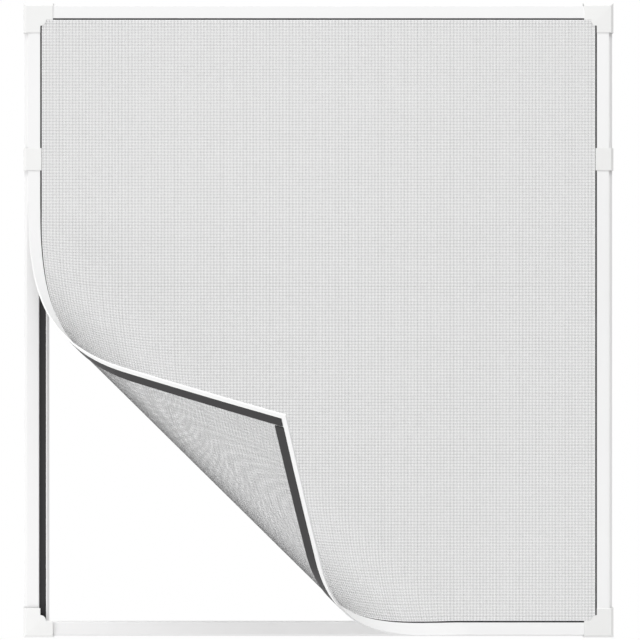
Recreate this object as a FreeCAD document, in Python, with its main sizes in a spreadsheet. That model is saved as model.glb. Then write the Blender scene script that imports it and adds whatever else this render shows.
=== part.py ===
import FreeCAD, Part
import math
import os
import re
import Sketcher
from FreeCAD import Base, Placement, Rotation, Vector

# Magnetic window screen: a stuck-on frame of hollow rails with corner caps and joining clips,
# and a lift-off net panel whose lower left corner is peeled away and curls towards the room.
# X runs along the sill, Z is up, and Y = 0 is the window face that the tapes stick to.
# The room is on the -Y side. The origin is the middle of the bottom rail's tape.

SIZES = {
    # frame, measured over the rails
    "frame_width": 1001.6,
    "frame_height": 1077,
    "joint_height": 812,
    # hollow rail
    "rail_width": 25.6,
    "rail_depth": 7,
    "rail_bevel": 5.2,
    "rail_round": 1,
    "rail_wall": 1.2,
    "rail_end_gap": 0.3,
    # foam tape behind the rails
    "tape_width": 18,
    "tape_thickness": 1,
    "tape_inset": 4,
    "tape_end_gap": 30,
    # steel strips inside the rails
    "keeper_width": 12,
    "keeper_thickness": 0.6,
    "keeper_side_gap": 0.3,
    "keeper_end_gap": 32,
    # channel that the steel strip slides into, under the rail's face
    "channel_play": 0.15,
    "channel_wall": 0.8,
    "channel_lip": 1.2,
    # net panel
    "side_inset": 7.9,
    "level_inset": 5.2,
    "border_width": 20.2,
    "border_thickness": 0.8,
    "margin_width": 7.5,
    "margin_lift": 0.2,
    "magnet_width": 14.9,
    "magnet_thickness": 1.45,
    "magnet_end_gap": 1.8,
    "magnet_joint_gap": 2.4,
    "net_thickness": 0.4,
    "layer_gap": 0.05,
    "edge_gap": 0.3,
    "net_columns": 10,
    "net_rows": 12,
    "net_band": 14,
    # peeled corner
    "curl_angle": 44.6,
    "peel_length": 532.4,
    "tight_radius": 60,
    "tight_angle": 40,
    "open_radius": 180.7,
    "open_angle": 88.8,
    "tip_radius": 6000,
    # caps and clips that snap over the rails
    "cap_wall": 1,
    "cap_gap": 0.15,
    "cap_bevel": 5.6,
    "cap_round": 0.7,
    "corner_leg": 50,
    "corner_reach": 28.6,
    "corner_lobe": 9.6,
    "clip_reach": 30.6,
    "clip_length": 38,
    "snap_reach": 3,
    "snap_thickness": 0.7,
    "snap_gap": 0.15,
    # magnet strip and its carrier beside the lower left rail
    "catch_top": 585,
    "catch_floor": 1.2,
    "lip_width": 4.9,
    "lip_depth": 5,
    "lip_bevel": 3.3,
    "lip_round": 0.6,
    "catch_strip_width": 11.2,
    "catch_strip_thickness": 1.5,
    "catch_strip_gap": 0.2,
}

# Distances that follow from the sizes. A depth is measured from the window face towards the room.
TAPE_LINE = "(tape_inset + tape_width / 2)"
FACE_DEPTH = "(tape_thickness + rail_depth)"
PANEL_DEPTH = "(magnet_thickness + net_thickness + border_thickness + 2 * layer_gap)"
CAP_INNER_DEPTH = f"({FACE_DEPTH} + {PANEL_DEPTH} + cap_gap)"
CAP_DEPTH = f"({CAP_INNER_DEPTH} + cap_wall)"
CAP_LAP = "(cap_gap + cap_wall)"
CHANNEL_SIDE = "(rail_width - rail_wall - 2 * keeper_side_gap - keeper_width)"
CHANNEL_DEPTH = "(rail_wall + keeper_thickness + channel_play)"
CATCH_INNER = "(rail_width + 2 * catch_strip_gap + catch_strip_width)"
UPPER_LENGTH = "(frame_height - joint_height)"

HALF_TURN = Rotation(Vector(0, 1, 0), 180)
QUARTER_TURN = Rotation(Vector(0, 1, 0), 90)
BACK_QUARTER_TURN = Rotation(Vector(0, 1, 0), -90)
NO_TURN = Rotation()
ALONG_SILL = Vector(1, 0, 0)
UPWARDS = Vector(0, 0, 1)

doc = FreeCAD.newDocument("window_screen")
sheet = doc.addObject("Spreadsheet::Sheet", "Sizes")
subparts = []


def fill_sheet():
    for row, (alias, number) in enumerate(SIZES.items(), start=1):
        sheet.set(f"A{row}", alias)
        sheet.set(f"B{row}", str(number))
        sheet.setAlias(f"B{row}", alias)
    doc.recompute()


def size(alias):
    return float(sheet.get(alias))


def bound(formula):
    """The formula with each size's name tied to its cell."""
    return re.sub(r"[a-z_]+", lambda word: tied(word.group(0)), formula)


def tied(word):
    return f"Sizes.{word}" if word in SIZES else word


def bind(thing, **formulas):
    for name, formula in formulas.items():
        thing.setExpression(name, bound(formula))


def place(thing, x, y, z, turn=NO_TURN):
    """Puts a piece at x, depth y and height z, measured in the row's frame."""
    thing.Placement = Placement(Vector(), turn)
    thing.setExpression("Placement.Base.x", bound(x))
    thing.setExpression("Placement.Base.y", bound(y))
    thing.setExpression("Placement.Base.z", bound(z))


def place_in_frame(thing, turn=NO_TURN, rise="0"):
    """Puts a piece drawn from the frame's lower left outer corner, or turned half round."""
    if turn is HALF_TURN:
        place(thing, "frame_width / 2", "0", f"frame_height - {TAPE_LINE} - ({rise})", turn)
    else:
        place(thing, "-frame_width / 2", "0", f"{rise} - {TAPE_LINE}", turn)


def new_body(label):
    body = doc.addObject("PartDesign::Body", label)
    body.Label = label
    subparts.append(body)
    return body


def new_sketch(body, name, plane, **offset):
    sketch = body.newObject("Sketcher::SketchObject", f"{body.Name}_{name}")
    planes = {feature.Role: feature for feature in body.Origin.OriginFeatures}
    sketch.AttachmentSupport = [(planes[plane], "")]
    sketch.MapMode = "FlatFace"
    for axis, formula in offset.items():
        sketch.setExpression(f"AttachmentOffset.Base.{axis}", bound(formula))
    return sketch


def pin_point(sketch, edge, end, point):
    """Ties one end of an edge to its distances from the sketch's origin."""
    for kind, formula in zip(("DistanceX", "DistanceY"), point):
        index = sketch.addConstraint(Sketcher.Constraint(kind, -1, 1, edge, end, 1.0))
        sketch.setExpression(f"Constraints[{index}]", bound(formula))


def add_outline(sketch, points):
    """Closed outline through the points, each tied to its distances from the sketch's origin."""
    count = len(points)
    turn = 2 * math.pi / count
    reach = size("corner_leg")
    spots = [Vector(reach * math.cos(i * turn), reach * math.sin(i * turn), 0) for i in range(count)]
    edges = []
    for i in range(count):
        edges.append(sketch.addGeometry(Part.LineSegment(spots[i], spots[(i + 1) % count])))
    for i, edge in enumerate(edges):
        sketch.addConstraint(Sketcher.Constraint("Coincident", edge, 2, edges[(i + 1) % count], 1))
        pin_point(sketch, edge, 1, points[i])


def set_both_sides(feature):
    feature.Type = "ThroughAll"
    if hasattr(feature, "SideType"):
        feature.SideType = "Symmetric"
    else:
        feature.Midplane = True


def add_pad(body, sketch, length):
    pad = body.newObject("PartDesign::Pad", f"{sketch.Name}_pad")
    pad.Profile = sketch
    bind(pad, Length=length)
    return pad


def add_pocket(body, sketch, length=None):
    """A cut along the sketch's normal, or right through when no length is given."""
    pocket = body.newObject("PartDesign::Pocket", f"{sketch.Name}_pocket")
    pocket.Profile = sketch
    if length is None:
        set_both_sides(pocket)
    else:
        pocket.Reversed = True
        bind(pocket, Length=length)
    return pocket


def front_edges(shape, directions):
    """Names of the straight edges on the room side that run along one of the directions."""
    names = []
    for i, edge in enumerate(shape.Edges, start=1):
        ends = [vertex.Point for vertex in edge.Vertexes]
        at_front = all(abs(end.y - shape.BoundBox.YMin) < 1e-3 for end in ends)
        straight = isinstance(edge.Curve, Part.Line)
        if at_front and straight and any((ends[1] - ends[0]).cross(way).Length < 1e-6 for way in directions):
            names.append(f"Edge{i}")
    return names


def round_front(body, radius, *directions):
    """Rounds the room-side edges of the body."""
    doc.recompute()
    block = body.Tip
    rounded = body.newObject("PartDesign::Fillet", f"{body.Name}_round")
    rounded.Base = (block, front_edges(block.Shape, directions))
    bind(rounded, Radius=radius)


def rail_section(across_first):
    """Chamber and outer bevel of a rail, measured in from its outer edge and back from its face."""
    corner = "rail_wall * 0.41421356"
    inner = "rail_width - rail_wall"
    lip_back = f"{CHANNEL_DEPTH} + channel_wall"
    chamber = [
        ("rail_wall", "rail_depth - rail_wall"),
        (inner, "rail_depth - rail_wall"),
        (inner, lip_back),
        (f"{inner} - channel_lip", lip_back),
        (f"{inner} - channel_lip", CHANNEL_DEPTH),
        (inner, CHANNEL_DEPTH),
        (inner, "rail_wall"),
        (CHANNEL_SIDE, "rail_wall"),
        (CHANNEL_SIDE, CHANNEL_DEPTH),
        (f"{CHANNEL_SIDE} + channel_lip", CHANNEL_DEPTH),
        (f"{CHANNEL_SIDE} + channel_lip", lip_back),
        (f"{CHANNEL_SIDE} - channel_wall", lip_back),
        (f"{CHANNEL_SIDE} - channel_wall", "rail_wall"),
        (f"rail_bevel + {corner}", "rail_wall"),
        ("rail_wall", f"rail_bevel + {corner}"),
    ]
    bevel = [("0", "0"), ("rail_bevel", "0"), ("0", "rail_bevel")]
    if across_first:
        return chamber, bevel
    return [point[::-1] for point in chamber], [point[::-1] for point in bevel]


def make_level_rail(label, turn):
    """Bottom rail, or the top one when it is turned half round."""
    body = new_body(label)
    plan = new_sketch(body, "plan", "XZ_Plane", z="tape_thickness")
    add_outline(plan, [
        ("0", "0"),
        ("frame_width", "0"),
        ("frame_width - rail_width", "rail_width"),
        ("rail_width", "rail_width"),
    ])
    add_pad(body, plan, "rail_depth")
    section = new_sketch(body, "section", "YZ_Plane", x=f"-{FACE_DEPTH}")
    for outline in rail_section(across_first=False):
        add_outline(section, outline)
    add_pocket(body, section)
    round_front(body, "rail_round", ALONG_SILL)
    place_in_frame(body, turn)


def make_side_rail(label, turn, length, mitre_first, rise):
    """Left rail from one corner to the joint, or a right one when it is turned half round."""
    body = new_body(label)
    plan = new_sketch(body, "plan", "XZ_Plane", z="tape_thickness")
    if mitre_first:
        outline = [
            ("0", "rail_end_gap"),
            ("rail_width", "rail_width + rail_end_gap"),
            ("rail_width", length),
            ("0", length),
        ]
    else:
        outline = [
            ("0", "0"),
            ("rail_width", "0"),
            ("rail_width", f"{length} - rail_width - rail_end_gap"),
            ("0", f"{length} - rail_end_gap"),
        ]
    add_outline(plan, outline)
    add_pad(body, plan, "rail_depth")
    section = new_sketch(body, "section", "XY_Plane", y=f"-{FACE_DEPTH}")
    for outline in rail_section(across_first=True):
        add_outline(section, outline)
    add_pocket(body, section)
    round_front(body, "rail_round", UPWARDS)
    place_in_frame(body, turn, rise)


def make_strip(label, turn, first, last, across, width, depth, thickness, upright):
    """A flat strip along a rail, from first to last, at a distance in from the outer edge."""
    strip = doc.addObject("Part::Box", label)
    strip.Label = label
    length = f"{last} - ({first})"
    if upright:
        bind(strip, Length=width, Width=thickness, Height=length)
        x, z = across, first
    else:
        bind(strip, Length=length, Width=thickness, Height=width)
        x, z = first, across
    front = f"-({depth}) - ({thickness})"
    if turn is HALF_TURN:
        place(strip, f"frame_width / 2 - ({x})", front, f"frame_height - {TAPE_LINE} - ({z})", turn)
    else:
        place(strip, f"({x}) - frame_width / 2", front, f"({z}) - {TAPE_LINE}")
    subparts.append(strip)


def make_rail_fillings(name, turn, length, upright, rise="0"):
    """The foam tape behind a rail and the steel keeper inside its chamber."""
    make_strip(
        f"{name}_tape", turn, f"{rise} + tape_end_gap", f"{rise} + {length} - tape_end_gap",
        "tape_inset", "tape_width", "0", "tape_thickness", upright)
    make_strip(
        f"{name}_keeper", turn, f"{rise} + keeper_end_gap", f"{rise} + {length} - keeper_end_gap",
        f"{CHANNEL_SIDE} + keeper_side_gap", "keeper_width",
        f"{FACE_DEPTH} - rail_wall - keeper_thickness", "keeper_thickness", upright)


def cap_section(reach):
    """Snap-on section over a rail: measured from the skirt's outside and back from the front."""
    inner = "cap_wall * 1.41421356"
    return [
        ("0", f"{CAP_DEPTH} - snap_gap"),
        ("0", "cap_bevel"),
        ("cap_bevel", "0"),
        (f"{reach} + {CAP_LAP}", "0"),
        (f"{reach} + {CAP_LAP}", "cap_wall"),
        (f"cap_bevel + {inner} - cap_wall", "cap_wall"),
        ("cap_wall", f"cap_bevel + {inner} - cap_wall"),
        ("cap_wall", f"{CAP_DEPTH} - snap_gap - snap_thickness"),
        ("cap_wall + snap_reach", f"{CAP_DEPTH} - snap_gap - snap_thickness"),
        ("cap_wall + snap_reach", f"{CAP_DEPTH} - snap_gap"),
    ]


def make_clip(label, turn):
    body = new_body(label)
    section = new_sketch(body, "section", "XY_Plane", x=f"-{CAP_LAP}", y=f"-{CAP_DEPTH}")
    add_outline(section, cap_section("clip_reach"))
    add_pad(body, section, "clip_length")
    round_front(body, "cap_round", ALONG_SILL, UPWARDS)
    middle = "frame_height - joint_height" if turn is HALF_TURN else "joint_height"
    place_in_frame(body, turn, f"{middle} - clip_length / 2")


def add_lobed_plan(sketch):
    """Right-angled plan of a corner cap, with a round lobe in its inner corner."""
    full = f"corner_leg + {CAP_LAP}"
    inner = f"corner_reach + {CAP_LAP}"
    lobe = f"{inner} + corner_lobe"
    points = [("0", "0"), (full, "0"), (full, inner), (lobe, inner), (inner, lobe), (inner, full), ("0", full)]
    near, reach, far = size("corner_reach"), size("corner_lobe"), size("corner_leg")
    spots = [
        Vector(0, 0, 0), Vector(far, 0, 0), Vector(far, near, 0), Vector(near + reach, near, 0),
        Vector(near, near + reach, 0), Vector(near, far, 0), Vector(0, far, 0),
    ]
    edges = []
    for i, spot in enumerate(spots):
        if i == 3:
            circle = Part.Circle(Vector(near, near, 0), Vector(0, 0, 1), reach)
            edges.append(sketch.addGeometry(Part.ArcOfCircle(circle, 0, math.pi / 2)))
        else:
            edges.append(sketch.addGeometry(Part.LineSegment(spot, spots[(i + 1) % len(spots)])))
    for i, edge in enumerate(edges):
        following = edges[(i + 1) % len(edges)]
        sketch.addConstraint(Sketcher.Constraint("Coincident", edge, 2, following, 1))
        pin_point(sketch, edge, 1, points[i])
    radius = sketch.addConstraint(Sketcher.Constraint("Radius", edges[3], reach))
    sketch.setExpression(f"Constraints[{radius}]", bound("corner_lobe"))


def outer_front_edges(shape):
    """Names of the two front edges along the outside of a corner cap."""
    front = shape.BoundBox.YMin
    names = []
    for i, edge in enumerate(shape.Edges, start=1):
        box = edge.BoundBox
        at_front = box.YMax - front < 1e-3
        outside = box.XMax - shape.BoundBox.XMin < 1e-3 or box.ZMax - shape.BoundBox.ZMin < 1e-3
        if at_front and outside:
            names.append(f"Edge{i}")
    return names


def add_square(sketch, first, last):
    add_outline(sketch, [(first, first), (last, first), (last, last), (first, last)])


def make_corner(label, x, z, turn):
    body = new_body(label)
    corner = {"x": f"-{CAP_LAP}", "y": f"-{CAP_LAP}"}
    plan = new_sketch(body, "plan", "XZ_Plane", z="snap_gap", **corner)
    add_lobed_plan(plan)
    add_pad(body, plan, f"{CAP_DEPTH} - snap_gap")
    doc.recompute()
    block = body.Tip
    bevel = body.newObject("PartDesign::Chamfer", f"{label}_bevel")
    bevel.Base = (block, outer_front_edges(block.Shape))
    bind(bevel, Size="cap_bevel")
    round_front(body, "cap_round", ALONG_SILL, UPWARDS)
    beyond = "3 * corner_leg"
    waist = f"{CAP_DEPTH} - cap_bevel - (cap_wall * 1.41421356 - cap_wall)"
    lip_front = "snap_gap + snap_thickness"
    hollow = new_sketch(body, "hollow", "XZ_Plane", z=lip_front, **corner)
    add_square(hollow, "cap_wall", beyond)
    add_pocket(body, hollow, f"{waist} - ({lip_front})")
    crown = new_sketch(body, "crown", "XZ_Plane", z=waist, **corner)
    add_square(crown, "cap_wall", beyond)
    taper = add_pocket(body, crown, f"{CAP_INNER_DEPTH} - ({waist})")
    taper.TaperAngle = -45
    back = new_sketch(body, "back", "XZ_Plane", **corner)
    add_square(back, "cap_wall + snap_reach", beyond)
    add_pocket(body, back, lip_front)
    place(body, x, "0", z, turn)


def make_catch():
    """Magnet carrier with a raised lip beside the lower left rail, and the strip that it holds."""
    body = new_body("catch_carrier")
    section = new_sketch(body, "section", "XY_Plane", y="-(tape_thickness + lip_depth)")
    floor = "lip_depth - catch_floor"
    add_outline(section, [
        ("rail_width", "lip_depth"),
        (f"{CATCH_INNER} + lip_width", "lip_depth"),
        (f"{CATCH_INNER} + lip_width", "lip_bevel"),
        (f"{CATCH_INNER} + lip_width - lip_bevel", "0"),
        (CATCH_INNER, "0"),
        (CATCH_INNER, floor),
        ("rail_width", floor),
    ])
    add_pad(body, section, "catch_top - rail_width - rail_end_gap")
    round_front(body, "lip_round", UPWARDS)
    place_in_frame(body, NO_TURN, "rail_width + rail_end_gap")
    make_strip(
        "catch_magnet", NO_TURN, "rail_width + 2 * rail_end_gap", "catch_top - rail_end_gap",
        "rail_width + catch_strip_gap", "catch_strip_width",
        "tape_thickness + catch_floor", "catch_strip_thickness", True)


class Curl:
    """The peeled panel: flat up to a fold line, then a tight, an open and a nearly flat bend.

    Distances along the sheet are measured square to the fold line, positive on the peeled side,
    and widths along it. Heights are measured from the rail face towards the room.
    """

    def __init__(self):
        angle = math.radians(size("curl_angle"))
        self.along = Vector(-math.sin(angle), 0, -math.cos(angle))
        self.across = Vector(-math.cos(angle), 0, math.sin(angle))
        self.length = size("peel_length")
        tape_line = size("tape_inset") + size("tape_width") / 2
        self.corner = Vector(size("side_inset"), 0, size("level_inset"))
        corner_in_row = self.corner - Vector(size("frame_width") / 2, 0, tape_line)
        start = corner_in_row - self.along * self.length
        start.y = -size("tape_thickness") - size("rail_depth")
        matrix = Base.Matrix(
            self.along.x, 0, self.across.x, start.x,
            0, -1, 0, start.y,
            self.along.z, 0, self.across.z, start.z,
            0, 0, 0, 1)
        self.placement = Placement(matrix)
        self.bends = self.bend_list()

    def bend_list(self):
        """Start, end, start angle, radius and centre of each bend, in the plane square to the fold."""
        bends, start, angle, point = [], 0.0, 0.0, Vector()
        for name in ("tight", "open", "tip"):
            radius = size(f"{name}_radius")
            # the last bend runs on past the loose corner
            turn = 2 * self.length / radius if name == "tip" else math.radians(size(f"{name}_angle"))
            centre = point + Vector(-math.sin(angle), math.cos(angle), 0) * radius
            end = start + radius * turn
            bends.append((start, end, angle, radius, centre))
            angle += turn
            point = centre + Vector(math.sin(angle), -math.cos(angle), 0) * radius
            start = end
        return bends

    def laid_out(self, x, z):
        """Distance past the fold line and width along it of a point of the flat panel."""
        offset = Vector(x, 0, z) - self.corner
        return Vector(self.length + offset.dot(self.along), offset.dot(self.across), 0)

    def outline(self, points):
        corners = [self.laid_out(*point) for point in points]
        return Part.Face(Part.makePolygon(corners + corners[:1]))

    def slab(self, outline, low, high):
        """Solid of the laid-out outline between two heights, bent with the sheet."""
        far = 5000.0
        parts = [(-far, 0.0, None)] + [(bend[0], bend[1], bend) for bend in self.bends]
        faces = []
        for first, last, bend in parts:
            strip = Part.makePlane(last - first, 2 * far, Vector(first, -far, 0))
            for region in outline.common(strip).Faces:
                faces += self.region_faces(region, first, last, bend, low, high)
        shell = Part.Shell(faces)
        shell.sewShape()
        solid = Part.Solid(shell)
        if solid.Volume < 0:
            solid.reverse()
        return solid

    def region_faces(self, region, first, last, bend, low, high):
        lower = self.cover(region, bend, low)
        upper = self.cover(region, bend, high)
        sides = []
        for wire in region.Wires:
            for edge in wire.OrderedEdges:
                ends = [vertex.Point for vertex in edge.Vertexes]
                shared = [abs(ends[0].x - limit) + abs(ends[1].x - limit) < 1e-6 for limit in (first, last)]
                if any(shared):
                    continue
                pair = [self.bent_edge(ends, bend, level) for level in (low, high)]
                sides.append(Part.makeRuledSurface(*pair))
        return [lower, upper] + sides

    def cover(self, region, bend, level):
        wires = []
        for wire in [region.OuterWire] + [w for w in region.Wires if not w.isSame(region.OuterWire)]:
            ends = [[vertex.Point for vertex in edge.Vertexes] for edge in wire.OrderedEdges]
            wires.append(Part.Wire([self.bent_edge(pair, bend, level) for pair in ends]))
        if bend is None:
            return Part.Face(wires)
        face = Part.Face(self.cylinder(bend, level), wires[0])
        if wires[1:]:
            face.cutHoles(wires[1:])
        face.validate()
        return face

    def cylinder(self, bend, level):
        surface = Part.Cylinder()
        surface.Center = bend[4]
        surface.Radius = bend[3] - level
        return surface

    def bent_edge(self, ends, bend, level):
        if bend is None:
            return Part.makeLine(*[Vector(end.x, level, end.y) for end in ends])
        start, _, angle, radius, _ = bend
        turned = [Base.Vector2d(angle + (end.x - start) / radius - math.pi / 2, end.y) for end in ends]
        return Part.Geom2d.Line2dSegment(*turned).toShape(self.cylinder(bend, level))


def add_shape(label, shape, placement):
    feature = doc.addObject("Part::Feature", label)
    feature.Label = label
    feature.Shape = shape
    feature.Placement = placement
    subparts.append(feature)


def panel_edges(inset=0.0):
    """Left, bottom, right and top of the flat panel, or of a rectangle inside it."""
    side, level = size("side_inset") + inset, size("level_inset") + inset
    return side, level, size("frame_width") - side, size("frame_height") - level


def mitred_band(width, side):
    """Outline of a strip along one side of the panel, mitred at its ends."""
    left, bottom, right, top = panel_edges()
    in_left, in_bottom, in_right, in_top = panel_edges(width)
    return {
        "left": [(left, bottom), (in_left, in_bottom), (in_left, in_top), (left, top)],
        "right": [(right, top), (in_right, in_top), (in_right, in_bottom), (right, bottom)],
        "bottom": [(right, bottom), (in_right, in_bottom), (in_left, in_bottom), (left, bottom)],
        "top": [(left, top), (in_left, in_top), (in_right, in_top), (right, top)],
    }[side]


def rectangle(left, bottom, right, top):
    return [(left, bottom), (right, bottom), (right, top), (left, top)]


def make_borders(curl):
    """White border strips: a cover in front of the net and a thicker margin outside the magnets."""
    cover_low = size("magnet_thickness") + size("net_thickness") + 2 * size("layer_gap")
    cover_high = cover_low + size("border_thickness")
    for side in ("left", "right", "top", "bottom"):
        cover_outline = curl.outline(mitred_band(size("border_width"), side))
        cover = curl.slab(cover_outline, cover_low, cover_high)
        margin_outline = curl.outline(mitred_band(size("margin_width"), side))
        margin = curl.slab(margin_outline, size("margin_lift"), cover_low)
        add_shape(f"panel_border_{side}", cover.fuse(margin).removeSplitter(), curl.placement)


def magnet_outlines():
    """The side strips run nearly the whole height, and the other two fit between them."""
    first = size("margin_width") + size("edge_gap")
    left, bottom, right, top = panel_edges(first)
    in_left, in_bottom, in_right, in_top = panel_edges(first + size("magnet_width"))
    end, joint = size("magnet_end_gap"), size("magnet_joint_gap")
    return {
        "left": rectangle(left, bottom + end, in_left, top - end),
        "right": rectangle(in_right, bottom + end, right, top - end),
        "bottom": rectangle(in_left + joint, bottom, in_right - joint, in_bottom),
        "top": rectangle(in_left + joint, in_top, in_right - joint, top),
    }


def make_panel_magnets(curl):
    for side, outline in magnet_outlines().items():
        slab = curl.slab(curl.outline(outline), 0.0, size("magnet_thickness"))
        add_shape(f"panel_magnet_{side}", slab, curl.placement)


def make_net(curl):
    """One thin woven wall, drawn as bands that cross between rows of gaps."""
    edge = size("margin_width") + size("edge_gap")
    inner = edge + size("magnet_width")
    bar = size("net_band")
    columns, rows = int(size("net_columns")), int(size("net_rows"))
    left, bottom, right, top = panel_edges(inner)
    pitch_x = (right - left - bar) / columns
    pitch_z = (top - bottom - bar) / rows
    gaps = []
    for column in range(columns):
        for row in range(rows):
            x = left + bar + column * pitch_x
            z = bottom + bar + row * pitch_z
            gaps.append(curl.outline(rectangle(x, z, x + pitch_x - bar, z + pitch_z - bar)))
    sheet_with_gaps = curl.outline(rectangle(*panel_edges(edge))).cut(Part.makeCompound(gaps))
    low = size("magnet_thickness") + size("layer_gap")
    add_shape("net", curl.slab(sheet_with_gaps, low, low + size("net_thickness")), curl.placement)


def make_frame():
    make_level_rail("bottom_rail", NO_TURN)
    make_level_rail("top_rail", HALF_TURN)
    make_side_rail("left_lower_rail", NO_TURN, "joint_height", True, "0")
    make_side_rail("left_upper_rail", NO_TURN, UPPER_LENGTH, False, "joint_height")
    make_side_rail("right_upper_rail", HALF_TURN, UPPER_LENGTH, True, "0")
    make_side_rail("right_lower_rail", HALF_TURN, "joint_height", False, UPPER_LENGTH)


def check_pieces():
    for thing in doc.Objects:
        if "Invalid" in thing.State or "Error" in thing.State:
            raise RuntimeError(f"{thing.Label} failed: {thing.State}")
    for piece in subparts:
        if piece.Shape.isNull() or not piece.Shape.isValid():
            raise RuntimeError(f"{piece.Label} has no valid shape")


def write_pieces():
    os.makedirs("parts", exist_ok=True)
    for piece in subparts:
        piece.Shape.exportStep(f"parts/{piece.Label}.step")
        print(piece.Label, round(piece.Shape.Volume), piece.Shape.BoundBox)


def make_fillings():
    make_rail_fillings("bottom", NO_TURN, "frame_width", False)
    make_rail_fillings("top", HALF_TURN, "frame_width", False)
    make_rail_fillings("left_lower", NO_TURN, "joint_height", True)
    make_rail_fillings("left_upper", NO_TURN, UPPER_LENGTH, True, "joint_height")
    make_rail_fillings("right_upper", HALF_TURN, UPPER_LENGTH, True)
    make_rail_fillings("right_lower", HALF_TURN, "joint_height", True, UPPER_LENGTH)


def make_caps():
    low, high = f"-{TAPE_LINE}", f"frame_height - {TAPE_LINE}"
    make_corner("corner_cap_bottom_left", "-frame_width / 2", low, NO_TURN)
    make_corner("corner_cap_top_left", "-frame_width / 2", high, QUARTER_TURN)
    make_corner("corner_cap_top_right", "frame_width / 2", high, HALF_TURN)
    make_corner("corner_cap_bottom_right", "frame_width / 2", low, BACK_QUARTER_TURN)
    make_clip("joining_clip_left", NO_TURN)
    make_clip("joining_clip_right", HALF_TURN)


fill_sheet()
make_frame()
make_fillings()
make_caps()
make_catch()
curl = Curl()
make_borders(curl)
make_panel_magnets(curl)
make_net(curl)
doc.recompute()
check_pieces()
write_pieces()
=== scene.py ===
"""Magnetic window screen: finishes for the moulded and extruded pieces, and the woven net."""

import math

import bpy
import numpy as np
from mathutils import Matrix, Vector


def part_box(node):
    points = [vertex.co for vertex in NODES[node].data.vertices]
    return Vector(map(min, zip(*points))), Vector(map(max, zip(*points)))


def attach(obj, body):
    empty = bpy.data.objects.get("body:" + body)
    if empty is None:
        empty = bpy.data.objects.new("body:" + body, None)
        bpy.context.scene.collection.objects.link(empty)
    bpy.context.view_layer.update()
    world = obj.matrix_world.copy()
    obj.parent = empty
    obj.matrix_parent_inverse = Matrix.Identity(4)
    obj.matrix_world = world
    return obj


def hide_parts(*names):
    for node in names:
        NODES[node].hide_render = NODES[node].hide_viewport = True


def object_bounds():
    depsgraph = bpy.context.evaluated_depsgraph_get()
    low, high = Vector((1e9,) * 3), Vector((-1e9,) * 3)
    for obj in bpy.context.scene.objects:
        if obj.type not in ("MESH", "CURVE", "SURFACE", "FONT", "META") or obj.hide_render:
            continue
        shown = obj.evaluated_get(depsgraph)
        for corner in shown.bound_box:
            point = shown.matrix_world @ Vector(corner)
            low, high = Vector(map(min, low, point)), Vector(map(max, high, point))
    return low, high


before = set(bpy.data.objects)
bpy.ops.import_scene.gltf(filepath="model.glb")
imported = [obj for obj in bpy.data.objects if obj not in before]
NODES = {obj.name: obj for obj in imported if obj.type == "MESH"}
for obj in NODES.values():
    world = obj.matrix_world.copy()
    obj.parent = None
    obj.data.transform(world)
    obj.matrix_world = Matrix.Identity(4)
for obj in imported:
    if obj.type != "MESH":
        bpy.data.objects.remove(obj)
CAD_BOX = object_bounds()

bl_info = {
    "name": "Magnetic Window Screen",
    "version": (1, 0, 0),
    "blender": (4, 5, 0),
    "location": "View3D > Sidebar > Window Screen",
    "description": "Weaves the net of a stick-on window screen and finishes its frame",
    "category": "Object",
}

MM = 0.001
# Turn of the sheet at which the camera sees it edge-on: the net's threads get painted shade around this turn
EDGE_ON = math.radians(101)


# Sizes and colours that a user may change


class NetSettings(bpy.types.PropertyGroup):
    """Weave of the net and the way its corner is peeled."""

    column_pitch: bpy.props.FloatProperty(
        name="Column pitch", description="Distance from one upright thread to the next",
        default=1.395 * MM, unit="LENGTH")
    row_pitch: bpy.props.FloatProperty(
        name="Row pitch", description="Distance from one level thread to the next",
        default=1.297 * MM, unit="LENGTH")
    thread_width: bpy.props.FloatProperty(
        name="Thread width", description="Mean width of the threads", default=0.36 * MM, unit="LENGTH")
    unevenness: bpy.props.FloatProperty(
        name="Unevenness", description="How much stouter every fourth thread is than the mean",
        default=0.62, subtype="FACTOR")
    thread_depth: bpy.props.FloatProperty(
        name="Thread depth", description="Thickness of a thread", default=0.125 * MM, unit="LENGTH")
    overlap: bpy.props.FloatProperty(
        name="Overlap", description="Width of net bonded to the magnets' inner edge",
        default=0.3 * MM, unit="LENGTH")
    curl_angle: bpy.props.FloatProperty(
        name="Curl angle", description="Slope of the fold line", default=math.radians(44.6), subtype="ANGLE")
    peel_length: bpy.props.FloatProperty(
        name="Peel length", description="Distance from the fold line to the panel's loose corner",
        default=532.4 * MM, unit="LENGTH")
    tight_radius: bpy.props.FloatProperty(
        name="Tight radius", description="Radius of the bend next to the fold line",
        default=60 * MM, unit="LENGTH")
    tight_turn: bpy.props.FloatProperty(
        name="Tight turn", description="Turn of that bend", default=math.radians(40), subtype="ANGLE")
    open_radius: bpy.props.FloatProperty(
        name="Open radius", description="Radius of the second bend", default=180.7 * MM, unit="LENGTH")
    open_turn: bpy.props.FloatProperty(
        name="Open turn", description="Turn of that bend", default=math.radians(88.8), subtype="ANGLE")
    tip_radius: bpy.props.FloatProperty(
        name="Tip radius", description="Radius of the nearly flat end", default=6000 * MM, unit="LENGTH")
    bend_step: bpy.props.FloatProperty(
        name="Bend step", description="Largest turn from one cut of the sheet to the next",
        default=math.radians(5.2), subtype="ANGLE")


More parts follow.
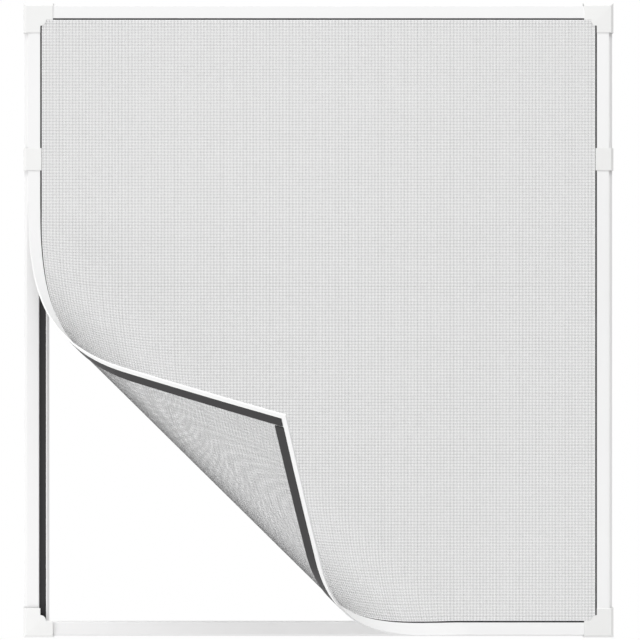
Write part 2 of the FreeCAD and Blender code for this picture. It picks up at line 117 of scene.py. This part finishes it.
class FinishSettings(bpy.types.PropertyGroup):
    """Colours of the pieces."""

    rail_colour: bpy.props.FloatVectorProperty(
        name="Rail", description="Extruded rails", default=(0.885, 0.882, 0.882), subtype="COLOR")
    cap_colour: bpy.props.FloatVectorProperty(
        name="Cap", description="Moulded caps and clips", default=(0.875, 0.875, 0.867), subtype="COLOR")
    border_colour: bpy.props.FloatVectorProperty(
        name="Border", description="Flexible border of the panel", default=(0.915, 0.915, 0.915), subtype="COLOR")
    magnet_colour: bpy.props.FloatVectorProperty(
        name="Magnet", description="Magnet strip", default=(0.02, 0.019, 0.02), subtype="COLOR")
    net_colour: bpy.props.FloatVectorProperty(
        name="Net", description="Threads of the net", default=(0.405, 0.405, 0.408), subtype="COLOR")
    steel_colour: bpy.props.FloatVectorProperty(
        name="Steel", description="Steel strips inside the rails", default=(0.62, 0.62, 0.61), subtype="COLOR")
    tape_colour: bpy.props.FloatVectorProperty(
        name="Tape", description="Foam tape", default=(0.82, 0.82, 0.8), subtype="COLOR")
    face_slope: bpy.props.FloatProperty(
        name="Face slope", description="How far the frame's face falls towards its outer edges", default=0.045)


class StageSettings(bpy.types.PropertyGroup):
    """Camera and light."""

    camera_distance: bpy.props.FloatProperty(
        name="Camera distance", description="Distance from the camera to the rails' face",
        default=2.04, unit="LENGTH")
    camera_x: bpy.props.FloatProperty(
        name="Camera offset", description="Camera's place to the right of the frame's middle",
        default=-0.1165, unit="LENGTH")
    camera_z: bpy.props.FloatProperty(
        name="Camera height", description="Camera's height over the bottom tape", default=0.645, unit="LENGTH")
    view_width: bpy.props.FloatProperty(
        name="View width", description="Width seen at the rails' face", default=1.088, unit="LENGTH")
    view_x: bpy.props.FloatProperty(
        name="View offset", description="Middle of the view, to the right of the frame's middle",
        default=0.0026, unit="LENGTH")
    view_z: bpy.props.FloatProperty(
        name="View height", description="Middle of the view over the bottom tape", default=0.526, unit="LENGTH")
    floor_drop: bpy.props.FloatProperty(
        name="Floor drop", description="How far the floor lies below the frame", default=0.9, unit="LENGTH")
    sky_strength: bpy.props.FloatProperty(
        name="Sky strength", description="Light from all round", default=0.46)
    top_strength: bpy.props.FloatProperty(
        name="Top lamp", description="Strength of the soft lamp above the frame", default=2.17)
    side_strength: bpy.props.FloatProperty(
        name="Side lamp", description="Strength of the soft lamp at the left", default=1.29)
    lamp_spread: bpy.props.FloatProperty(
        name="Lamp spread", description="Angle that each lamp covers, which softens its shadows",
        default=math.radians(30), subtype="ANGLE")


# Shader nodes written as expressions


class Wire:
    """One output of a node, with arithmetic that adds Math nodes."""

    def __init__(self, shader, socket):
        self.shader = shader
        self.socket = socket

    def math(self, operation, *values):
        return self.shader.node("ShaderNodeMath", {"operation": operation}, dict(enumerate(values)))

    def __add__(self, other):
        return self.math("ADD", self, other)

    def __radd__(self, other):
        return self.math("ADD", other, self)

    def __sub__(self, other):
        return self.math("SUBTRACT", self, other)

    def __rsub__(self, other):
        return self.math("SUBTRACT", other, self)

    def __mul__(self, other):
        return self.math("MULTIPLY", self, other)

    def __rmul__(self, other):
        return self.math("MULTIPLY", other, self)


class Shader:
    """A new material and its Principled shader."""

    def __init__(self, name, colour, roughness, **fixed):
        self.material = bpy.data.materials.new(name)
        self.material.use_nodes = True
        self.tree = self.material.node_tree
        self.tree.nodes.clear()
        self.output = self.tree.nodes.new("ShaderNodeOutputMaterial")
        self.surface = self.tree.nodes.new("ShaderNodeBsdfPrincipled")
        self.tree.links.new(self.surface.outputs[0], self.output.inputs["Surface"])
        self.surface.inputs["Base Color"].default_value = (*colour, 1)
        self.surface.inputs["Roughness"].default_value = roughness
        for socket, value in fixed.items():
            self.surface.inputs[socket.replace("_", " ")].default_value = value

    def node(self, kind, settings, inputs, output=0):
        made = self.tree.nodes.new(kind)
        for name, value in settings.items():
            setattr(made, name, value)
        for key, value in inputs.items():
            self.feed(made.inputs[key], value)
        return Wire(self, made.outputs[output])

    def feed(self, socket, value):
        if isinstance(value, Wire):
            self.tree.links.new(value.socket, socket)
        else:
            socket.default_value = value

    def set(self, socket, value):
        self.feed(self.surface.inputs[socket], value)

    def place(self, scale):
        """Object coordinates, scaled along each axis."""
        point = self.node("ShaderNodeTexCoord", {}, {}, "Object")
        return self.node("ShaderNodeMapping", {}, {"Vector": point, "Scale": scale})

    def noise(self, scale, detail=3.0, stretch=(1, 1, 1)):
        return self.node(
            "ShaderNodeTexNoise", {}, {"Vector": self.place(stretch), "Scale": scale, "Detail": detail}, "Fac")

    def blend(self, factor, first, second):
        """Colour between two colours."""
        made = self.tree.nodes.new("ShaderNodeMix")
        made.data_type = "RGBA"
        self.feed(made.inputs[0], factor)
        self.feed(made.inputs[6], first)
        self.feed(made.inputs[7], second)
        return Wire(self, made.outputs[2])

    def bump(self, height, distance, strength=1.0, under=None):
        """Raises the surface by a height, on top of another bump if one is given."""
        inputs = {"Height": height, "Distance": distance, "Strength": strength}
        if under:
            inputs["Normal"] = under
        normal = self.node("ShaderNodeBump", {}, inputs)
        self.set("Normal", normal)
        return normal

    def pitched(self, slope):
        """Makes the frame's face fall a little towards its outer edges, with a crease at the mitres."""
        point = self.node("ShaderNodeTexCoord", {}, {}, "Object")
        x, z = (self.node("ShaderNodeSeparateXYZ", {}, {"Vector": point}, axis) for axis in "XZ")
        low, high = CAD_BOX
        inward = x.math("MINIMUM", high[0] - x.math("ABSOLUTE", x), z - low[2])
        inward = x.math("MINIMUM", inward, high[2] - z)
        return self.bump(inward, slope)


def shade(colour, factor):
    return tuple(min(1.0, part * factor) for part in colour) + (1.0,)


def plastic(name, colour, roughness, along, slope=0.0):
    """Smooth white plastic with faint flow lines along one axis."""
    shader = Shader(name, colour, roughness, IOR=1.49)
    stretch = tuple(0.03 if axis == along else 1.0 for axis in "xyz")
    flow = shader.noise(420.0, 2.0, stretch)
    cloud = shader.noise(9.0, 2.0)
    shader.set("Base Color", shader.blend(cloud, shade(colour, 0.988), shade(colour, 1.012)))
    shader.set("Roughness", roughness + (flow - 0.5) * 0.12)
    shader.bump(flow, 0.02 * MM, 0.35, shader.pitched(slope) if slope else None)
    return shader.material


def moulded(name, colour, slope):
    """Injection-moulded cap with a fine spark-eroded grain."""
    shader = Shader(name, colour, 0.42, IOR=1.5)
    grain = shader.noise(1900.0, 2.0)
    cloud = shader.noise(30.0, 2.0)
    shader.set("Base Color", shader.blend(cloud, shade(colour, 0.985), shade(colour, 1.01)))
    shader.set("Roughness", 0.36 + grain * 0.14)
    shader.bump(grain, 0.02 * MM, 0.5, shader.pitched(slope))
    return shader.material


def magnet_rubber(name, colour, along):
    """Extruded ferrite rubber: fine drag lines along its length and dusty patches."""
    shader = Shader(name, colour, 0.55, Specular_IOR_Level=0.3)
    stretch = tuple(0.02 if axis == along else 1.0 for axis in "xyz")
    drag = shader.noise(900.0, 3.0, stretch)
    dust = shader.noise(55.0, 4.0)
    worn = shader.blend(drag, shade(colour, 0.7), shade(colour, 1.5))
    shader.set("Base Color", shader.blend(dust * 0.35, worn, shade(colour, 2.2)))
    shader.set("Roughness", 0.44 + dust * 0.2)
    shader.bump(drag, 0.05 * MM, 0.5)
    return shader.material


def coated_thread(name, colour):
    """Plastic-coated yarn: each thread has a shade of its own. Painted shade darkens the threads at the fold's edge,
    where the camera sees the sheet edge-on, and painted light makes the flap's back paler.
    """
    shader = Shader(name, colour, 0.5, IOR=1.48, Subsurface_Weight=1.0, Subsurface_Scale=0.5 * MM)
    shader.surface.inputs["Subsurface Radius"].default_value = (1, 1, 1)
    across = shader.node("ShaderNodeAttribute", {"attribute_name": "strand"}, {}, "Fac")
    uneven = shader.node(
        "ShaderNodeTexNoise", {"noise_dimensions": "1D"}, {"W": across, "Scale": 330.0, "Detail": 2.0}, "Fac")
    turn = shader.node("ShaderNodeAttribute", {"attribute_name": "turn"}, {}, "Fac")
    # Ramps around the edge-on turn: past it the flap's back takes painted light, and near it the fold's edge takes
    # painted shade
    painted_flap_light = shader.node("ShaderNodeMapRange", {}, {"Value": turn - EDGE_ON, "From Min": 0.08, "From Max": 0.46})
    before = shader.node("ShaderNodeMapRange", {}, {"Value": EDGE_ON - turn, "From Min": 0.2, "From Max": 0.9})
    clear_of_painted_shade = turn.math("MAXIMUM", painted_flap_light, before)
    fine = shader.noise(2600.0, 1.0)
    # Darkest and palest thread shades; on the flap's back both are raised as painted light
    dark = shader.blend(painted_flap_light, shade(colour, 0.55), shade(colour, 0.72))
    pale = shader.blend(painted_flap_light, shade(colour, 1.45), shade(colour, 1.7))
    own = shader.blend(uneven, dark, pale)
    # Painted shade: the fold's edge darkens to 0.4 of the net's colour, fading out on either side of the edge-on
    # turn
    shader.set("Base Color", shader.blend(clear_of_painted_shade, shade(colour, 0.4), own))
    shader.set("Roughness", 0.42 + fine * 0.16)
    shader.bump(fine, 0.03 * MM, 0.6)
    return shader.material


def rolled_steel(name, colour):
    shader = Shader(name, colour, 0.35, Metallic=1.0)
    rolling = shader.noise(600.0, 3.0, (0.05, 1.0, 0.05))
    shader.set("Roughness", 0.3 + rolling * 0.2)
    shader.bump(rolling, 0.01 * MM, 0.4)
    return shader.material


def foam(name, colour):
    """Closed-cell foam with its small round cells."""
    shader = Shader(name, colour, 0.8)
    cells = shader.node("ShaderNodeTexVoronoi", {}, {"Vector": shader.place((1, 1, 1)), "Scale": 1500.0}, "Distance")
    shader.set("Base Color", shader.blend(cells, shade(colour, 0.9), shade(colour, 1.05)))
    shader.bump(cells, 0.1 * MM, 0.6)
    return shader.material


# The curl of the panel


class Curl:
    """The peeled panel: flat to the fold line, then a tight, an open and a nearly flat bend."""

    def __init__(self, net):
        low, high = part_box("panel_border_right")
        self.corner = Vector((-high.x, 0.0, low.z))
        self.face = -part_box("bottom_rail")[0].y
        self.along = Vector((-math.sin(net.curl_angle), 0.0, -math.cos(net.curl_angle)))
        self.across = Vector((-math.cos(net.curl_angle), 0.0, math.sin(net.curl_angle)))
        self.length = net.peel_length
        self.start = self.corner - self.along * self.length
        self.bends = []
        begin, angle, foot = 0.0, 0.0, (0.0, 0.0)
        left = self.length - net.tight_radius * net.tight_turn - net.open_radius * net.open_turn
        plan = [
            (net.tight_radius, net.tight_turn),
            (net.open_radius, net.open_turn),
            (net.tip_radius, left / net.tip_radius),
        ]
        for radius, turn in plan:
            centre = (foot[0] - radius * math.sin(angle), foot[1] + radius * math.cos(angle))
            self.bends.append((begin, angle, radius, centre))
            begin += radius * turn
            angle += turn
            foot = (centre[0] + radius * math.sin(angle), centre[1] - radius * math.cos(angle))
        self.end = begin

    def cuts(self, step):
        """Distances past the fold line at which the sheet is cut across, so that it bends smoothly."""
        ends = [bend[0] for bend in self.bends[1:]] + [self.end]
        places = []
        for (begin, _, radius, _), end in zip(self.bends, ends):
            count = math.ceil((end - begin) / radius / step)
            places += [begin + (end - begin) * i / count for i in range(count)]
        return places

    def turns(self, points):
        """How far the sheet has turned where each point of the flat panel lies."""
        run = (points - np.array(self.start)) @ np.array(self.along)
        turned = np.zeros(len(run))
        for begin, angle, radius, _ in self.bends:
            turned = np.where(run > begin, angle + (run - begin) / radius, turned)
        return turned

    def bend(self, points):
        """Moves points of the flat panel to where the curled sheet holds them."""
        rest = points.copy()
        offset = rest - np.array(self.start)
        run = offset @ np.array(self.along)
        width = offset @ np.array(self.across)
        height = -rest[:, 1] - self.face
        x, y = run.copy(), height.copy()
        for begin, angle, radius, centre in self.bends:
            on = run > begin
            turned = angle + (run[on] - begin) / radius
            x[on] = centre[0] + (radius - height[on]) * np.sin(turned)
            y[on] = centre[1] - (radius - height[on]) * np.cos(turned)
        moved = np.outer(x, self.along) + np.outer(width, self.across)
        moved[:, 1] -= y + self.face
        moved[:, 0] += self.start.x
        moved[:, 2] += self.start.z
        return moved


def settings(name):
    return getattr(bpy.context.scene, name)


def deselect():
    if bpy.context.object and bpy.context.object.mode != "OBJECT":
        bpy.ops.object.mode_set(mode="OBJECT")
    bpy.ops.object.select_all(action="DESELECT")


def finish_nodes(names, material):
    for name in names:
        node = NODES[name]
        node.data.materials.clear()
        node.data.materials.append(material)


def add_threads(first, step, count, width, depth, length, upright):
    """A row of like threads: one is drawn and the others are its copies."""
    deselect()
    bpy.ops.mesh.primitive_cube_add(size=1, location=first)
    thread = bpy.context.object
    size = (width, depth, length) if upright else (length, depth, width)
    bpy.ops.transform.resize(value=size)
    bpy.ops.object.transform_apply(location=True, rotation=True, scale=True)
    array = thread.modifiers.new("row", "ARRAY")
    array.use_relative_offset = False
    array.use_constant_offset = True
    array.constant_offset_displace = (step, 0, 0) if upright else (0, 0, step)
    array.count = count
    bpy.ops.object.modifier_apply(modifier=array.name)
    return thread


def weave(net):
    """All the threads of the flat net, joined in one mesh, and the net's size."""
    low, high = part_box("panel_border_right")
    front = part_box("panel_magnet_right")[0].y
    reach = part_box("panel_magnet_right")[0].x + net.overlap
    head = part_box("panel_magnet_top")[0].z + net.overlap
    foot = low.z + high.z - head
    threads = []
    for upright in (True, False):
        pitch = net.column_pitch if upright else net.row_pitch
        span, length = (2 * reach, head - foot) if upright else (head - foot, 2 * reach)
        depth = front - net.thread_depth * (1.5 if upright else 0.5)
        rows = int(span / pitch / 4)
        begin = (span - (4 * rows - 1) * pitch) / 2
        for place in range(4):
            width = net.thread_width * (1 + net.unevenness * math.cos(place * math.pi / 2))
            across = begin + place * pitch
            first = (across - reach, depth, (foot + head) / 2) if upright else (0, depth, foot + across)
            threads.append(add_threads(first, 4 * pitch, rows, width, net.thread_depth, length, upright))
    deselect()
    for thread in threads:
        thread.select_set(True)
    bpy.context.view_layer.objects.active = threads[0]
    bpy.ops.object.join()
    cloth = bpy.context.object
    cloth.name = "woven_net"
    mark_strands(cloth.data, front - net.thread_depth)
    return cloth, (2 * reach, head - foot)


def read_points(mesh):
    points = np.zeros(len(mesh.vertices) * 3)
    mesh.vertices.foreach_get("co", points)
    return points.reshape(-1, 3)


def mark_strands(mesh, between):
    """Gives each thread its distance across the net, so that its shade can be its own."""
    x, y, z = read_points(mesh).T
    strand = mesh.attributes.new("strand", "FLOAT", "POINT")
    strand.data.foreach_set("value", np.where(y < between, x, z + 10).astype(np.float32))


def cut_and_bend(piece, curl, step):
    """Cuts a flat piece across at each step of the curl, then bends it."""
    deselect()
    piece.select_set(True)
    bpy.context.view_layer.objects.active = piece
    bpy.ops.object.mode_set(mode="EDIT")
    for place in curl.cuts(step):
        bpy.ops.mesh.select_all(action="SELECT")
        bpy.ops.mesh.bisect(plane_co=curl.start + curl.along * place, plane_no=curl.along)
    bpy.ops.object.mode_set(mode="OBJECT")
    mesh = piece.data
    points = read_points(mesh)
    mesh.attributes.new("turn", "FLOAT", "POINT").data.foreach_set("value", curl.turns(points).astype(np.float32))
    mesh.vertices.foreach_set("co", curl.bend(points).ravel())
    mesh.update()


class NetOperator(bpy.types.Operator):
    """Weave the net and bend its loose corner"""

    bl_idname = "screen.net"
    bl_label = "Net"

    def execute(self, context):
        net = settings("screen_net")
        curl = Curl(net)
        cloth, flat = weave(net)
        cut_and_bend(cloth, curl, net.bend_step)
        cloth.data.materials.clear()
        cloth.data.materials.append(coated_thread("net_thread", settings("screen_finish").net_colour))
        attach(cloth, "root")
        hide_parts("net")
        return {"FINISHED"}


class PanelOperator(bpy.types.Operator):
    """Finish the panel's border and magnet strips"""

    bl_idname = "screen.panel"
    bl_label = "Panel edges"

    def execute(self, context):
        finish = settings("screen_finish")
        for sides, along in ((("left", "right"), "z"), (("top", "bottom"), "x")):
            border = plastic(f"border_vinyl_{along}", finish.border_colour, 0.46, along)
            magnet = magnet_rubber(f"magnet_strip_{along}", finish.magnet_colour, along)
            finish_nodes([f"panel_border_{side}" for side in sides], border)
            finish_nodes([f"panel_magnet_{side}" for side in sides], magnet)
            if along == "z":
                finish_nodes(["catch_magnet"], magnet)
        return {"FINISHED"}


class RailOperator(bpy.types.Operator):
    """Finish the rails and the magnet carrier"""

    bl_idname = "screen.rails"
    bl_label = "Rails"

    def execute(self, context):
        finish = settings("screen_finish")
        rails = [name for name in NODES if name.endswith("_rail")]
        level = [name for name in rails if name in ("bottom_rail", "top_rail")]
        upright = [name for name in rails if name not in level] + ["catch_carrier"]
        for nodes, along in ((level, "x"), (upright, "z")):
            vinyl = plastic(f"rail_vinyl_{along}", finish.rail_colour, 0.34, along, finish.face_slope)
            finish_nodes(nodes, vinyl)
        return {"FINISHED"}


class CapOperator(bpy.types.Operator):
    """Finish the corner caps and joining clips"""

    bl_idname = "screen.caps"
    bl_label = "Caps and clips"

    def execute(self, context):
        names = [name for name in NODES if name.startswith(("corner_cap", "joining_clip"))]
        finish = settings("screen_finish")
        finish_nodes(names, moulded("cap_plastic", finish.cap_colour, finish.face_slope))
        return {"FINISHED"}


class FixingOperator(bpy.types.Operator):
    """Finish the steel strips and the foam tape"""

    bl_idname = "screen.fixings"
    bl_label = "Keepers and tape"

    def execute(self, context):
        finish = settings("screen_finish")
        keepers = [name for name in NODES if name.endswith("_keeper")]
        tapes = [name for name in NODES if name.endswith("_tape")]
        finish_nodes(keepers, rolled_steel("rolled_steel", finish.steel_colour))
        finish_nodes(tapes, foam("foam_tape", finish.tape_colour))
        return {"FINISHED"}


class StageOperator(bpy.types.Operator):
    """Set up the floor, the light and the camera"""

    bl_idname = "screen.stage"
    bl_label = "Stage"

    def execute(self, context):
        stage = settings("screen_stage")
        add_world(stage.sky_strength)
        add_floor(-stage.floor_drop)
        add_lamp("top_lamp", (0, -0.45, 0.85), stage.top_strength, stage.lamp_spread)
        add_lamp("side_lamp", (-0.75, -0.45, -0.45), stage.side_strength, stage.lamp_spread)
        add_camera(stage)
        context.scene.view_settings.view_transform = "Standard"
        return {"FINISHED"}


def add_world(strength):
    """Soft light from all round, and plain white where the camera sees the sky."""
    world = bpy.data.worlds.new("soft_sky")
    bpy.context.scene.world = world
    world.use_nodes = True
    tree = world.node_tree
    tree.nodes.clear()
    output = tree.nodes.new("ShaderNodeOutputWorld")
    sky = tree.nodes.new("ShaderNodeBackground")
    sky.inputs["Color"].default_value = (1, 1, 1, 1)
    path = tree.nodes.new("ShaderNodeLightPath")
    seen = None
    for ray in ("Is Camera Ray", "Is Glossy Ray", "Is Transmission Ray"):
        if seen is None:
            seen = path.outputs[ray]
            continue
        either = tree.nodes.new("ShaderNodeMath")
        either.operation = "MAXIMUM"
        tree.links.new(seen, either.inputs[0])
        tree.links.new(path.outputs[ray], either.inputs[1])
        seen = either.outputs[0]
    level = tree.nodes.new("ShaderNodeMapRange")
    level.inputs["To Min"].default_value = strength
    level.inputs["To Max"].default_value = 1.0
    tree.links.new(seen, level.inputs["Value"])
    tree.links.new(level.outputs[0], sky.inputs["Strength"])
    tree.links.new(sky.outputs[0], output.inputs["Surface"])


def add_floor(height):
    """Pale round floor that fades to plain white at its rim."""
    deselect()
    bpy.ops.mesh.primitive_circle_add(vertices=96, radius=1.6, fill_type="NGON", location=(0, -0.25, height))
    floor = bpy.context.object
    floor.name = "floor"
    bpy.ops.object.transform_apply(location=True, rotation=False, scale=False)
    shader = Shader("pale_floor", (0.9, 0.9, 0.9), 0.85)
    point = shader.node("ShaderNodeTexCoord", {}, {}, "Object")
    centred = shader.node("ShaderNodeMapping", {}, {"Vector": point, "Location": (0, 0.25, -height)})
    reach = shader.node("ShaderNodeVectorMath", {"operation": "LENGTH"}, {0: centred}, "Value")
    fade = shader.node("ShaderNodeMapRange", {}, {"Value": reach, "From Min": 0.7, "From Max": 1.55})
    glow = shader.tree.nodes.new("ShaderNodeEmission")
    mix = shader.tree.nodes.new("ShaderNodeMixShader")
    shader.tree.links.new(fade.socket, mix.inputs[0])
    shader.tree.links.new(shader.surface.outputs[0], mix.inputs[1])
    shader.tree.links.new(glow.outputs[0], mix.inputs[2])
    shader.tree.links.new(mix.outputs[0], shader.output.inputs["Surface"])
    floor.data.materials.append(shader.material)


def add_lamp(name, towards, strength, spread):
    """A soft lamp a few metres away, in the direction given."""
    data = bpy.data.lights.new(name, "SUN")
    data.energy = strength
    data.angle = spread
    lamp = bpy.data.objects.new(name, data)
    bpy.context.scene.collection.objects.link(lamp)
    place = Vector(towards)
    lamp.location = place * 4
    lamp.rotation_mode = "QUATERNION"
    lamp.rotation_quaternion = (-place).to_track_quat("-Z", "Y")


def add_camera(stage):
    """Camera square to the frame. Its shift frames the view, so the rails stay parallel."""
    data = bpy.data.cameras.new("camera")
    camera = bpy.data.objects.new("camera", data)
    bpy.context.scene.collection.objects.link(camera)
    bpy.context.scene.camera = camera
    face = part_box("bottom_rail")[0].y
    camera.location = (stage.camera_x, face - stage.camera_distance, stage.camera_z)
    camera.rotation_euler = (math.pi / 2, 0, 0)
    data.lens = data.sensor_width * stage.camera_distance / stage.view_width
    data.shift_x = (stage.view_x - stage.camera_x) / stage.view_width
    data.shift_y = (stage.view_z - stage.camera_z) / stage.view_width
    data.clip_start, data.clip_end = 0.05, 50


OPERATORS = (RailOperator, CapOperator, FixingOperator, PanelOperator, NetOperator, StageOperator)


class ScreenPanel(bpy.types.Panel):
    """Lists the steps that dress the screen"""

    bl_idname = "VIEW3D_PT_window_screen"
    bl_label = "Window Screen"
    bl_space_type = "VIEW_3D"
    bl_region_type = "UI"
    bl_category = "Window Screen"

    def draw(self, context):
        for step in OPERATORS:
            self.layout.operator(step.bl_idname)


GROUPS = {"screen_net": NetSettings, "screen_finish": FinishSettings, "screen_stage": StageSettings}


def register():
    for name, group in GROUPS.items():
        bpy.utils.register_class(group)
        setattr(bpy.types.Scene, name, bpy.props.PointerProperty(type=group))
    for item in OPERATORS + (ScreenPanel,):
        bpy.utils.register_class(item)


def unregister():
    for item in reversed(OPERATORS + (ScreenPanel,)):
        bpy.utils.unregister_class(item)
    for name, group in GROUPS.items():
        delattr(bpy.types.Scene, name)
        bpy.utils.unregister_class(group)


def main():
    register()
    bpy.ops.screen.rails()
    bpy.ops.screen.caps()
    bpy.ops.screen.fixings()
    bpy.ops.screen.panel()
    bpy.ops.screen.net()
    bpy.ops.screen.stage()


if __name__ == "__main__":
    main()
